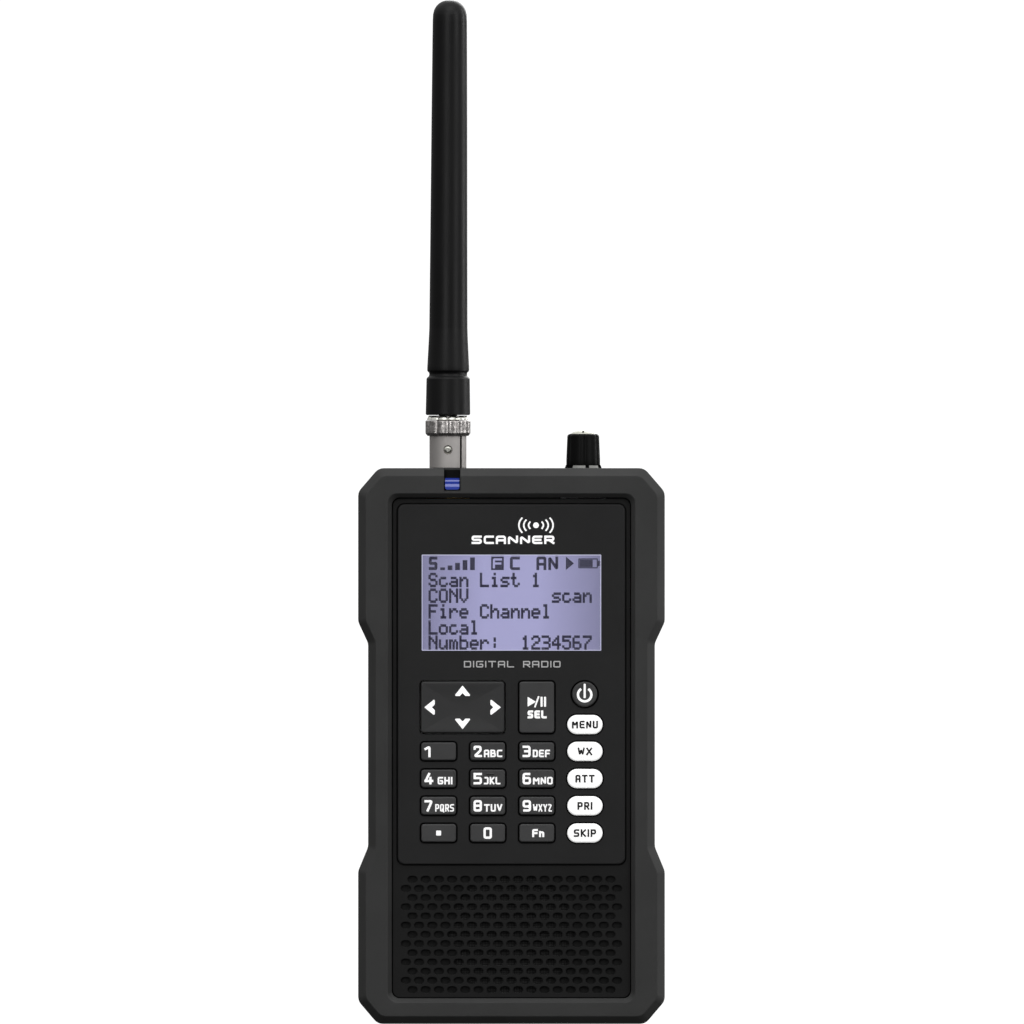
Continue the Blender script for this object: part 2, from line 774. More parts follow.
def key_body(name):
    return "nav" if name == "nav_pad" else f"body_{name}"


def make_key(name, material, edge, dish=0.0):
    cap = rounded_cap(lambda grow: key_outline(name, grow), KEY_FRONT, KEY_FLANGE_FRONT, edge, dish)
    flange = slab(key_outline(name, FLANGE), KEY_FLANGE_FRONT, KEY_BACK)
    piece_of(f"cap_{name}", cap, material, key_body(name), [name], angle=40)
    piece_of(f"flange_{name}", flange, SKIRT, key_body(name), [name])


make_panel()
for key_name in BLOCK_KEYS:
    make_key(key_name, KEY, 0.35)
for key_name in ROUND_KEYS:
    make_key(key_name, KEY, 0.35, 0.15)
for key_name in PILL_KEYS:
    make_key(key_name, PILL, 0.45, -0.12)
nav_cap = rounded_cap(lambda grow: key_outline("nav_pad", grow), NAV_FRONT, NAV_BACK, 0.4, 0.3, 12, True)
piece_of("cap_nav_pad", nav_cap, PAD, "nav", ["nav_pad"], angle=40)


# ---------------------------------------------------------------- printed legends
# Strokes of each letter on a grid 4 wide and 6 high. A stroke that ends where it starts is closed.
GLYPHS = {
    "A": [[(0, 0), (0, 6), (4, 6), (4, 0)], [(0, 2.5), (4, 2.5)]],
    "B": [
        [(0, 0), (0, 6)],
        [(0, 6), (3.6, 6), (3.6, 3.1), (0, 3.1)],
        [(0, 3.1), (4.1, 3.1), (4.1, 0), (0, 0)],
    ],
    "C": [[(4, 6), (0, 6), (0, 0), (4, 0)]],
    "D": [[(0, 0), (0, 6)], [(0, 6), (4, 6), (4, 0), (0, 0)]],
    "E": [[(4, 6), (0, 6), (0, 0), (4, 0)], [(0, 3), (3.6, 3)]],
    "F": [[(4, 6), (0, 6), (0, 0)], [(0, 2.9), (3.6, 2.9)]],
    "G": [[(4, 6), (0, 6), (0, 0), (4, 0), (4, 2.9), (2.2, 2.9)]],
    "H": [[(0, 0), (0, 6)], [(4, 0), (4, 6)], [(0, 3), (4, 3)]],
    "I": [[(0, 0), (0, 6)]],
    "J": [[(0.8, 6), (3.8, 6), (3.8, 0), (0, 0)]],
    "K": [[(0, 0), (0, 6)], [(4, 6), (0.7, 3), (4, 0)]],
    "L": [[(0, 6), (0, 0), (4, 0)]],
    "M": [[(0, 0), (0, 6), (2.5, 2.4), (5, 6), (5, 0)]],
    "N": [[(0, 0), (0, 6), (4, 0), (4, 6)]],
    "O": [[(0, 0), (0, 6), (4, 6), (4, 0), (0, 0)]],
    "P": [[(0, 0), (0, 6)], [(0, 6), (4, 6), (4, 2.5), (0, 2.5)]],
    "Q": [[(0, 0), (0, 6), (4, 6), (4, 0), (0, 0)], [(2.4, 1.6), (4.4, -0.8)]],
    "R": [[(0, 0), (0, 6)], [(0, 6), (4, 6), (4, 2.7), (0, 2.7)], [(1.9, 2.7), (4, 0)]],
    "S": [[(4, 6), (0, 6), (0, 3), (4, 3), (4, 0), (0, 0)]],
    "T": [[(0, 6), (4.4, 6)], [(2.2, 6), (2.2, 0)]],
    "U": [[(0, 6), (0, 0), (4, 0), (4, 6)]],
    "V": [[(0, 6), (2.1, 0), (4.2, 6)]],
    "W": [[(0, 6), (1.2, 0), (2.6, 4.6), (4, 0), (5.2, 6)]],
    "X": [[(0, 0), (4.2, 6)], [(0, 6), (4.2, 0)]],
    "Y": [[(0, 6), (2.1, 2.8), (4.2, 6)], [(2.1, 2.8), (2.1, 0)]],
    "Z": [[(0, 6), (4, 6), (0, 0), (4, 0)]],
    "n": [[(0, 0), (0, 4)], [(0, 3.7), (3.4, 3.7), (3.4, 0)]],
    "0": [[(0, 0), (0, 6), (3.4, 6), (3.4, 0), (0, 0)]],
    "1": [[(0, 4.6), (1.8, 6), (1.8, 0)]],
    "2": [[(0, 4.8), (0, 6), (3.9, 6), (3.9, 3.6), (0, 0), (4.1, 0)]],
    "3": [[(0, 6), (3.9, 6), (3.9, 0), (0, 0)], [(1, 3.1), (3.9, 3.1)]],
    "4": [[(2.3, 6), (0, 1.5)], [(0, 1.5), (4.3, 1.5)], [(3.2, 3.4), (3.2, 0)]],
    "5": [[(4, 6), (0, 6)], [(0, 6), (0, 3.4)], [(0, 3.4), (4, 3.4), (4, 0), (0, 0)]],
    "6": [[(3.5, 6), (0, 6), (0, 0), (4, 0), (4, 3.4), (0, 3.4)]],
    "7": [[(0, 6), (4, 6), (1.4, 0)]],
    "8": [[(0, 0), (0, 6), (4, 6), (4, 0), (0, 0)], [(0, 3.1), (4, 3.1)]],
    "9": [[(0.4, 0), (4, 0), (4, 6), (0, 6), (0, 2.6), (4, 2.6)]],
}
WORD_GAP = 2.6
GLYPH_HEIGHT = 6.0
INK_RAISED = 0.03
INK_SUNK = 0.05
INK_LAYER = 0.006
MITRE_LIMIT = 1.7


def soften(points, radius):
    """Rounds the corners of a stroke, less where its straights are short."""
    closed = points[0] == points[-1]
    corners = points[:-1] if closed else points
    count = len(corners)
    path = []
    for i, corner in enumerate(corners):
        if not closed and i in (0, count - 1):
            path.append(corner)
            continue
        before = corners[i - 1]
        after = corners[(i + 1) % count]
        reach = min(radius, 0.42 * math.dist(before, corner), 0.42 * math.dist(corner, after))
        turn = math.atan2(after[1] - corner[1], after[0] - corner[0])
        turn -= math.atan2(corner[1] - before[1], corner[0] - before[0])
        half = abs(math.atan2(math.sin(turn), math.cos(turn))) / 2
        path += arc_corner(before, corner, after, min(radius, reach / math.tan(half)), 24)
    return path, closed


def extended(start, end, reach):
    """The end of a line, moved further along it."""
    length = math.dist(start, end)
    return (
        end[0] + (end[0] - start[0]) * reach / length,
        end[1] + (end[1] - start[1]) * reach / length,
    )


def stroke_sides(path, closed, width):
    """Left and right edges of a stroke drawn along a path."""
    count = len(path)
    sides = []
    for i, (x, z) in enumerate(path):
        before = path[i - 1] if closed or i else None
        after = path[(i + 1) % count] if closed or i < count - 1 else None
        normals = []
        for start, end in ((before, (x, z)), ((x, z), after)):
            if start and end:
                length = math.dist(start, end)
                normals.append((-(end[1] - start[1]) / length, (end[0] - start[0]) / length))
        nx = sum(n[0] for n in normals) / len(normals)
        nz = sum(n[1] for n in normals) / len(normals)
        scale = min(1 / max(nx * nx + nz * nz, 1e-6), MITRE_LIMIT**2) * width / 2
        sides.append(((x + nx * scale, z + nz * scale), (x - nx * scale, z - nz * scale)))
    return sides


def draw_ribbon(shape, path, closed, width, front, raised=INK_RAISED, sunk=INK_SUNK):
    """A ribbon of ink along a path, raised from a surface at a depth and sunk into it."""
    top, foot = front - raised, front + sunk
    sections = []
    for left, right in stroke_sides(path, closed, width):
        corners = ((left, top), (right, top), (right, foot), (left, foot))
        sections.append(shape.loop([(x, y, z) for (x, z), y in corners]))
    if closed:
        shape.hoop(sections)
    else:
        shape.skin(sections)


def draw_stroke(shape, points, width, front, radius):
    """A ribbon of ink along a stroke, with rounded corners and square ends."""
    path, closed = soften(points, radius)
    if not closed:
        path[0] = extended(path[1], path[0], width / 2)
        path[-1] = extended(path[-2], path[-1], width / 2)
    draw_ribbon(shape, path, closed, width, front)


def draw_text(shape, text, x0, x1, z0, z1, width, front, roundness=0.12, space=0.3):
    """Text whose inked area just fills a rectangle, with a space in millimetres between letters."""
    letters = [(WORD_GAP, []) if letter == " " else (0.0, GLYPHS[letter]) for letter in text]
    widths = [gap + max([x for stroke in strokes for x, _ in stroke] or [0]) for gap, strokes in letters]
    between = width + space
    scale_x = (x1 - x0 - width - between * (len(text) - 1)) / max(sum(widths), 0.1)
    scale_z = (z1 - z0 - width) / GLYPH_HEIGHT
    pen = x0 + width / 2
    for (_, strokes), wide in zip(letters, widths):
        for layer, stroke in enumerate(strokes):
            points = [(pen + x * scale_x, z0 + width / 2 + z * scale_z) for x, z in stroke]
            draw_stroke(shape, points, width, front - layer * INK_LAYER, roundness * (z1 - z0))
        pen += wide * scale_x + between


def draw_patch(shape, points, front, raised=INK_RAISED, sunk=INK_SUNK):
    """A patch of ink with a given outline."""
    shape.skin([shape.ring(y, points) for y in (front + sunk, front - raised)])


DIGIT_BASE = -1.5
DIGIT_TOP = 1.5
LETTER_TOP = 0.45
DIGIT_STROKE = 0.6
LETTER_STROKE = 0.42
PILL_STROKE = 0.45
# The middle of a pill key's dished front.
PILL_FRONT = KEY_FRONT - 0.09
# For each key: its digit and the digit's span, then its letters and their span.
NUMBER_LEGENDS = {
    "key_1": ("1", -3.7, -2.1, "", 0, 0),
    "key_2": ("2", -3.7, -1.5, "ABC", -1.0, 3.8),
    "key_3": ("3", -3.7, -1.6, "DEF", -1.05, 3.45),
    "key_4": ("4", -3.7, -1.4, "GHI", -0.25, 3.6),
    "key_5": ("5", -3.7, -1.5, "JKL", -1.0, 3.3),
    "key_6": ("6", -3.7, -1.5, "MNO", -1.0, 4.15),
    "key_7": ("7", -3.7, -1.5, "PQRS", -0.9, 4.0),
    "key_8": ("8", -3.7, -1.5, "TUV", -0.95, 3.8),
    "key_9": ("9", -3.7, -1.5, "WXYZ", -1.0, 3.95),
    "key_0": ("0", -1.1, 1.1, "", 0, 0),
}
PILL_LEGENDS = {
    "menu_key": ("MENU", 3.4),
    "wx_key": ("WX", 1.9),
    "att_key": ("ATT", 2.5),
    "pri_key": ("PRI", 1.95),
    "skip_key": ("SKIP", 2.9),
}


def finish_legend(name, shape, body, material=INK):
    piece_of(name, shape, material, body, angle=60)


def key_legend(name, shape, material=INK):
    """A legend drawn about the middle of its key, moved into place."""
    middle = centre_mm(name)
    finish_legend(f"legend_{name}", shape.move(middle.x, 0, middle.z), key_body(name), material)


def make_key_legends():
    for name, (digit, x0, x1, letters, x2, x3) in NUMBER_LEGENDS.items():
        shape = Shape()
        draw_text(shape, digit, x0, x1, DIGIT_BASE, DIGIT_TOP, DIGIT_STROKE, KEY_FRONT)
        if letters:
            fine = 0.8 if len(letters) > 3 else 1.0
            stroke = LETTER_STROKE * fine
            draw_text(shape, letters, x2, x3, DIGIT_BASE, LETTER_TOP, stroke, KEY_FRONT, space=0.26 * fine)
        key_legend(name, shape)
    for name, (text, reach) in PILL_LEGENDS.items():
        shape = Shape()
        draw_text(shape, text, -reach, reach, -1.0, 1.0, PILL_STROKE, PILL_FRONT, space=0.36)
        key_legend(name, shape, DARK_INK)
    shape = Shape()
    draw_patch(shape, rectangle(-0.65, 0.65, -0.65, 0.65, 0.2), KEY_FRONT)
    key_legend("key_dot", shape)
    shape = Shape()
    draw_text(shape, "Fn", -1.2, 1.95, -1.05, 1.05, 0.52, KEY_FRONT)
    key_legend("key_fn", shape)


NIB_PLACE = (0.6, 1.25)
NIB_SIZE = (2.2, 0.46)


def make_key_nib():
    """A small raised bar on the middle key of the number block, to be found by touch."""
    middle = centre_mm("key_5")
    width, height = NIB_SIZE
    edge = [(KEY_FRONT + 0.1, 0), (KEY_FRONT - 0.16, 0), (KEY_FRONT - 0.28, 0.16)]
    path = soft_path(edge, 0.08)
    nib = solid([(y, obround(*NIB_PLACE, width - 2 * inset, height - 2 * inset)) for y, inset in path])
    piece_of("nib_key_5", nib.move(middle.x, 0, middle.z), KEY, "body_key_5")


PLAY_SIGN = [(-2.4, 0.15), (-0.2, 1.45), (-2.4, 2.75)]
PAUSE_BARS = (1.25, 2.15)


def make_select_legend():
    """Play and pause signs over the word for select."""
    shape = Shape()
    draw_text(shape, "SEL", -2.4, 2.6, -2.9, -0.8, 0.56, KEY_FRONT, space=0.3)
    draw_patch(shape, rounded(PLAY_SIGN, 0.12), KEY_FRONT)
    draw_stroke(shape, [(-0.45, 0.2), (0.45, 2.7)], 0.42, KEY_FRONT, 0.1)
    for x in PAUSE_BARS:
        draw_patch(shape, rectangle(x - 0.27, x + 0.27, 0.15, 2.75, 0.1), KEY_FRONT)
    key_legend("sel_key", shape)


POWER_RING = 1.75
POWER_GAP = 64


def make_power_legend():
    """An open ring with a bar through its gap."""
    shape = Shape()
    front = KEY_FRONT + 0.02
    ring = arc(0, -0.1, POWER_RING, POWER_RING, 90 + POWER_GAP / 2, 360 - POWER_GAP, 28)
    draw_ribbon(shape, ring, False, 0.62, front, 0.06, 0.15)
    draw_patch(shape, rectangle(-0.28, 0.28, -1.0, 2.75, 0.2), front, 0.06, 0.2)
    key_legend("power_key", shape)


# Right half of an arrowhead from its tip down; the left half mirrors it. Then each turn and its reach.
ARROW_HALF = [(1.95, -2.45), (1.85, -2.75), (0.75, -2.75)]
ARROW = [(0, 0)] + [(-x, z) for x, z in ARROW_HALF] + [(0, -2.0)] + ARROW_HALF[::-1]
ARROW_REACH = {0: 5.7, 90: 10.0, 180: 5.7, 270: 10.0}


def make_nav_legends():
    """Four notched arrowheads that point away from the pad's middle."""
    shape = Shape()
    for turn, reach in ARROW_REACH.items():
        cos, sin = math.cos(math.radians(turn)), math.sin(math.radians(turn))
        arrow = [(x, z + reach) for x, z in rounded(ARROW, 0.12, 30)]
        draw_patch(shape, [(x * cos - z * sin, x * sin + z * cos) for x, z in arrow], NAV_FRONT, 0, 0.42)
    key_legend("nav_pad", shape)


WAVES = (6.4, 130.1)
WAVE_REACH = (1.75, 2.9, 4.05)


def make_panel_legends():
    """Plain generic words and a radio-wave sign on the panel."""
    shape = Shape()
    draw_text(shape, "SCANNER", -10.4, 11.2, 125.2, 127.4, 0.56, PANEL_FRONT, 0.2, 0.5)
    draw_patch(shape, circle(*WAVES, 0.75, 32), PANEL_FRONT)
    for side in (0, 180):
        for reach in WAVE_REACH:
            wave = arc(*WAVES, reach * 1.1, reach * 0.8, side - 34, 68, 10)
            draw_stroke(shape, wave, 0.42, PANEL_FRONT, 0.01)
    finish_legend("panel_words", shape, "radio")
    shape = Shape()
    draw_text(shape, "DIGITAL RADIO", -12.4, 12.8, 93.0, 94.7, 0.3, PANEL_FRONT, space=0.5)
    finish_legend("panel_words_small", shape, "radio", SOFT_INK)


make_key_legends()
make_key_nib()
make_select_legend()
make_power_legend()
make_nav_legends()
make_panel_legends()


# ---------------------------------------------------------------- display
# Heights over which the backlight's colour drifts. It is even up to the first distance from the
# middle, and dims from there to the side of the display.
GLOW_SPAN = (97, 122)
GLOW_EVEN = 7.0
GLOW_HALF_WIDTH = 23.5


def glowing(name, low_color, high_color, side_share=1.0):
    """A backlit surface whose colour drifts upwards and dims to a share of itself at both sides."""
    look = Look(name, (0.05, 0.05, 0.07), 0.4, Specular_IOR_Level=0.2)
    place = look.apart()
    low, high = GLOW_SPAN
    share = look.ranged(place["Z"], 0, 1, low * MM, high * MM)
    cloud = look.ranged(look.noise(40, 2.0), -0.06, 0.06)
    total = look.math("ADD", share, cloud)
    ramp = look.ramp(low_color, high_color)
    look.link(total, ramp.inputs["Fac"])
    aside = look.math("ABSOLUTE", place["X"])
    fade = look.ranged(aside, 1.0, side_share, GLOW_EVEN * MM, GLOW_HALF_WIDTH * MM)
    look.link(look.dimmed(ramp.outputs["Color"], fade), look.shader.inputs["Emission Color"])
    look.shader.inputs["Emission Strength"].default_value = 1.0
    return look.grained(5200, 0.04).material


GLASS = Look("window_glass", (0.96, 0.96, 0.98), 0.03, IOR=1.35, Transmission_Weight=1.0)
GLASS = GLASS.smudged(60, 0.02).material
BACKLIGHT = glowing("backlit_display", (0.366, 0.362, 0.586), (0.362, 0.358, 0.58), 0.56)
EDGE_LIGHT = glowing("display_edge", (0.5, 0.5, 0.68), (0.55, 0.55, 0.7))
DOT = glowing("display_dot", (0.016, 0.015, 0.032), (0.018, 0.017, 0.036))

# Rows of each character from the top, five dots wide.
DOT_FONT = {
    "S": "01110 10001 10000 01110 00001 10001 01110",
    "c": "00000 00000 01110 10000 10000 10001 01110",
    "a": "00000 00000 01110 00001 01111 10001 01111",
    "n": "00000 00000 10110 11001 10001 10001 10001",
    "L": "10000 10000 10000 10000 10000 10000 11111",
    "i": "00100 00000 01100 00100 00100 00100 01110",
    "s": "00000 00000 01111 10000 01110 00001 11110",
    "t": "01000 01000 11100 01000 01000 01001 00110",
    "C": "01110 10001 10000 10000 10000 10001 01110",
    "O": "01110 10001 10001 10001 10001 10001 01110",
    "N": "10001 11001 10101 10011 10001 10001 10001",
    "V": "10001 10001 10001 10001 10001 01010 00100",
    "F": "11111 10000 10000 11110 10000 10000 10000",
    "r": "00000 00000 10110 11001 10000 10000 10000",
    "e": "00000 00000 01110 10001 11111 10000 01110",
    "h": "10000 10000 10110 11001 10001 10001 10001",
    "l": "01100 00100 00100 00100 00100 00100 01110",
    "o": "00000 00000 01110 10001 10001 10001 01110",
    "u": "00000 00000 10001 10001 10001 10011 01101",
    "m": "00000 00000 11010 10101 10101 10101 10101",
    "b": "10000 10000 11110 10001 10001 10001 11110",
    ":": "00000 00100 00100 00000 00100 00100 00000",
    "1": "00100 01100 00100 00100 00100 00100 01110",
    "2": "01110 10001 00001 00110 01000 10000 11111",
    "3": "11110 00001 00001 01110 00001 00001 11110",
    "4": "00010 00110 01010 10010 11111 00010 00010",
    "5": "11111 10000 11110 00001 00001 10001 01110",
    "6": "01110 10000 10000 11110 10001 10001 01110",
    "7": "11111 00001 00010 00100 01000 01000 01000",
}
DOT_PITCH = (0.447, 0.516)
DOT_SPACE = -0.17
TEXT_LEFT = -21.66
TEXT_LINES = (
    (117.7, "Scan List 1"),
    (113.6, "CONV        scan"),
    (109.5, "Fire Channel"),
    (105.3, "Local"),
    (101.35, "Number:  1234567"),
)
LCD_FRONT = -15.3
DISPLAY_AREA = (-23.4, 23.4, 97.38, 122.42)
ICON_TOP = 121.9
ICON_LOW = 118.4
SIGNAL_BARS = (0.7, 1.2, 1.9, 2.6, 3.3)
SIGNAL_LEFT = -18.6
SIGNAL_PITCH = 1.95
MODE_BOX = (-5.3, -2.0)


def draw_dots(shape, rows, left, top):
    """One character of the dot matrix, from its top left corner."""
    wide, high = DOT_PITCH
    for row, dots in enumerate(rows.split()):
        for column, dot in enumerate(dots):
            if dot == "1":
                x = left + column * wide
                z = top - row * high
                draw_patch(shape, rectangle(x, x + wide - DOT_SPACE, z - high + DOT_SPACE, z), LCD_FRONT)


def draw_icons(shape):
    """Status row: signal bars, mode letters, a play sign and a battery, all generic."""
    top = ICON_TOP
    low = ICON_LOW
    draw_text(shape, "S", TEXT_LEFT + 0.1, TEXT_LEFT + 2.35, low, top, 0.78, LCD_FRONT, 0.06)
    for i, height in enumerate(SIGNAL_BARS):
        x = SIGNAL_LEFT + i * SIGNAL_PITCH
        draw_patch(shape, rectangle(x, x + 1.25, low, low + height), LCD_FRONT)
    draw_patch(shape, rectangle(*MODE_BOX, low, top), LCD_FRONT)
    for letters, x0, x1 in (("C", -0.4, 2.2), ("AN", 6.5, 12.2)):
        draw_text(shape, letters, x0, x1, low, top, 0.74, LCD_FRONT, 0.08, 0.5)
    middle = (top + low) / 2
    draw_patch(shape, [(14.2, low), (16.3, middle), (14.2, top)], LCD_FRONT)
    draw_patch(shape, rectangle(17.8, 21.2, low + 0.8, top - 0.8), LCD_FRONT)
    cell = rectangle(17.6, 22.4, low + 0.6, top - 0.6)
    draw_stroke(shape, cell + cell[:1], 0.3, LCD_FRONT - INK_LAYER, 0.02)
    draw_patch(shape, rectangle(22.5, 23.0, middle - 0.7, middle + 0.7), LCD_FRONT)


def make_display():
    """A backlit module with a dark dot matrix, behind a clear lens."""
    back = box_mm("lcd_module")[1].y
    wide = rectangle(*DISPLAY_AREA, 0.3)
    narrow = rectangle(*face_of("lcd_module"), 0.3)
    sheet = solid([(LCD_FRONT, wide), (LCD_FRONT + 0.2, wide), (LCD_FRONT + 0.25, narrow), (back, narrow)])
    piece_of("lcd_glass", sheet, BACKLIGHT, "radio", ["lcd_module"])
    dots = Shape()
    for top, text in TEXT_LINES:
        for i, letter in enumerate(text):
            if letter != " ":
                draw_dots(dots, DOT_FONT[letter], TEXT_LEFT + i * DOT_PITCH[0] * 6, top)
    draw_icons(dots)
    piece_of("lcd_dots", dots, DOT, "radio")
    mark = Shape()
    box = (MODE_BOX[0] + 0.45, MODE_BOX[1] - 0.45, ICON_LOW + 0.45, ICON_TOP - 0.45)
    draw_text(mark, "F", *box, 0.55, LCD_FRONT - 0.05, 0.05)
    piece_of("lcd_mode_letter", mark, BACKLIGHT, "radio")
    edge = Shape()
    section = ((0.05, 0), (-0.04, 0), (-0.04, 0.2), (0.05, 0.2))
    edge.hoop([edge.ring(LCD_FRONT + depth, grown(DISPLAY_AREA, -inset)) for depth, inset in section])
    piece_of("lcd_edge", edge, EDGE_LIGHT, "radio")
    low, high = box_mm("display_lens")
    path = [(high.y, 0.0), (low.y + 0.12, 0.0), (low.y, 0.12)]
    lens = solid([(y, grown(face_of("display_lens"), -inset, 0.4 - inset)) for y, inset in path])
    piece_of("clear_lens", lens, GLASS, "radio", ["display_lens"])


make_display()


# ---------------------------------------------------------------- alert light
# Front edge of the lens seen from the side: distance back from its front, height above its foot.
LENS_RIDGES = [(0.0, 0.0), (0.0, 0.75), (0.36, 1.45), (0.28, 2.1), (0.5, 2.5), (0.44, 3.0)]
LENS_FOOT_RADIUS = 0.55
LENS_FOOT_STEPS = 6


def make_alert_light():
    """A ridged light pipe that fills the foot of the notch."""
    low, high = box_mm("alert_light")
    span = high.x - low.x
    radius = LENS_FOOT_RADIUS
    steps = LENS_FOOT_STEPS
    stations = [radius * (1 - math.cos(math.pi / 2 * k / steps)) for k in range(steps + 1)]
    stations += [span - x for x in reversed(stations)]
    shape = Shape()
    rings = []
    for x in stations:
        reach = min(x, span - x, radius)
        lift = radius - math.sqrt(max(radius**2 - (radius - reach) ** 2, 0))
        points = [(low.x + x, low.y + back, low.z + max(up, lift)) for back, up in LENS_RIDGES]
        points += [(low.x + x, high.y, high.z), (low.x + x, high.y, low.z + lift)]
        rings.append(shape.loop(points))
    shape.skin(rings)
    piece_of("alert_lens", shape, BLUE_LENS, "radio", ["alert_light"], angle=12)


def make_notch_lining():
    """A dark strip on the wall behind the notch, above the lens."""
    left, right, _ = LIGHT_NOTCH
    low = box_mm("alert_light")[1].z
    strip = block(left + 0.06, right - 0.06, NOTCH_BACK - 0.1, NOTCH_BACK + 0.1, low, HEIGHT - 0.45)
    piece_of("notch_lining", strip, KNOB, "radio", bevel=0.04)


make_alert_light()
make_notch_lining()


# ---------------------------------------------------------------- antenna
ANTENNA_X = -16.6
KNOB_X = 18.75
SHEATH_BORE = 2.7
SHEATH_LOW = 158.9
# Side of the sheath from its foot up, as (radius, height).
SHEATH = [
    (5.57, SHEATH_LOW), (5.82, 159.15), (5.78, 161.5), (5.66, 168.35), (5.52, 168.65), (5.02, 169.05),
    (4.92, 169.6), (5.02, 170.0), (5.36, 170.3), (5.48, 170.6), (5.46, 171.6), (5.37, 173.3),
    (5.24, 176.0), (5.1, 178.8), (4.99, 181.5), (4.84, 205), (4.68, 235), (4.52, 258),
    (4.48, 262.0), (4.4, 263.6), (4.18, 264.6), (3.92, 265.2), (3.5, 265.85), (2.85, 266.5),
    (2.1, 266.95), (1.2, 267.24), (0, 267.3),
]
# The whip leans to the right by this much for every millimetre above its plug.
WHIP_LEAN = 0.0048
SLEEVE_LOW = 145.03
SLEEVE_OUTER = 4.83
SLEEVE_INNER = 4.15
SLEEVE_GROOVE = 4.5
# The sleeve's pins sit in round windows; a groove inside it clears the lugs of the jack.
PIN_Z = 149.8
PIN_REACH = 4.96
PIN_WINDOW = 1.16
GROOVE_HALF = 1.14
KNURL_LOW = 153.4
KNURL_HIGH = 157.4
KNURL_OUTER = 5.98
KNURL_LOBES = 12
SLIT_WIDTH = 0.46
SLIT_X = 3.38


PLUG_FLANGE = [(2.9, 157.62), (5.5, 157.62), (5.58, 157.72), (5.14, 158.62), (5.0, 158.74)]
PLUG_FLANGE += [(2.4, 158.75), (2.4, 158.85)]


def upright(shape, x):
    return shape.move(x, SHAFT_Y, 0)


def make_antenna():
    shape = lathe(soft_path([(SHEATH_BORE, SHEATH_LOW), *SHEATH], 0.05), 96)
    # The skin is closed by a floor over the plug.
    feet = [v for v in shape.mesh.verts if abs(v.co.z - SHEATH_LOW) < 1e-4]
    shape.cap([v for v in feet if v.co.xy.length < SHEATH_BORE + 0.1])
    for vert in shape.mesh.verts:
        vert.co.x += WHIP_LEAN * (vert.co.z - SHEATH_LOW)
    upright(shape, ANTENNA_X)
    piece_of("antenna_skin", shape, ANTENNA, "antenna", ["antenna_sheath"])
    flange = lathe(PLUG_FLANGE, KNURL_LOBES * 12, scallop)
    piece_of("plug_flange", upright(flange, ANTENNA_X), BRIGHT, "antenna")


def scallop(angle, radius):
    """Shallow grooves round the grip of the coupling ring."""
    if radius < SLEEVE_OUTER:
        return 1.0
    return 1 - 0.06 * (1 - abs(math.sin(angle * KNURL_LOBES / 2))) ** 1.6


def make_coupling():
    """A sleeve with a slit, two windows and a groove inside it, and the scalloped grip above."""
    side = [(SLEEVE_INNER, SLEEVE_LOW + 0.25), (SLEEVE_INNER + 0.15, SLEEVE_LOW)]
    side += [(SLEEVE_OUTER - 0.12, SLEEVE_LOW), (SLEEVE_OUTER, SLEEVE_LOW + 0.12)]
    side += [(SLEEVE_OUTER, KNURL_LOW + 0.1), (SLEEVE_INNER, KNURL_LOW + 0.1)]
    side += [(SLEEVE_INNER, PIN_Z + GROOVE_HALF), (SLEEVE_GROOVE, PIN_Z + GROOVE_HALF)]
    side += [(SLEEVE_GROOVE, PIN_Z - GROOVE_HALF), (SLEEVE_INNER, PIN_Z - GROOVE_HALF)]
    sleeve = lathe(side, 96)
    rim = [(-SLEEVE_OUTER - 0.1, 1.3), (-SLEEVE_OUTER + 0.1, PIN_WINDOW), (-3.0, PIN_WINDOW)]
    window = solid([(y, circle(0, PIN_Z, radius, 40)) for y, radius in rim])
    half = SLIT_WIDTH / 2
    slit = block(SLIT_X - half, SLIT_X + half, -6, -1, SLEEVE_LOW - 1, KNURL_LOW + 0.05)
    mesh = carve(sleeve.data("sleeve"), window, slit)
    mesh.transform(Matrix.Translation(Vector((ANTENNA_X, SHAFT_Y, 0)) * MM))
    piece_of("coupling_sleeve", mesh, NICKEL, "coupling", ["coupling_ring"], angle=30)
    side = [(3.2, KNURL_LOW + 1.8), (SLEEVE_INNER, KNURL_LOW), (5.45, KNURL_LOW + 0.05)]
    side += [(KNURL_OUTER, KNURL_LOW + 0.75), (KNURL_OUTER, KNURL_HIGH - 0.1)]
    side += [(KNURL_OUTER - 0.3, KNURL_HIGH + 0.12), (3.2, KNURL_HIGH + 0.12)]
    grip = lathe(soft_path(side, 0.16), KNURL_LOBES * 12, scallop)
    upright(grip, ANTENNA_X)
    piece_of("coupling_grip", grip, KNURLED, "coupling", ["coupling_ring"], angle=35)


def make_sleeve_pins():
    """Chamfered pins in the windows of the sleeve, and the dark liner of the jack behind them."""
    liner = lathe(rectangle(3.85, 4.0, 145.6, 153.0), 64)
    piece_of("jack_liner", upright(liner, ANTENNA_X), GASKET, "radio")
    profile = [(0, 0), (0.54, 0), (1.02, 0.34), (1.1, 0.42), (1.1, 0.5), (0, 0.5)]
    for label, side in (("front", 90), ("back", -90)):
        pin = lathe(profile, 32).move(z=-PIN_REACH).turn(-side, "X").move(z=PIN_Z)
        piece_of(f"sleeve_pin_{label}", upright(pin, ANTENNA_X), BRIGHT, "coupling", angle=20)


make_antenna()
make_coupling()
make_sleeve_pins()


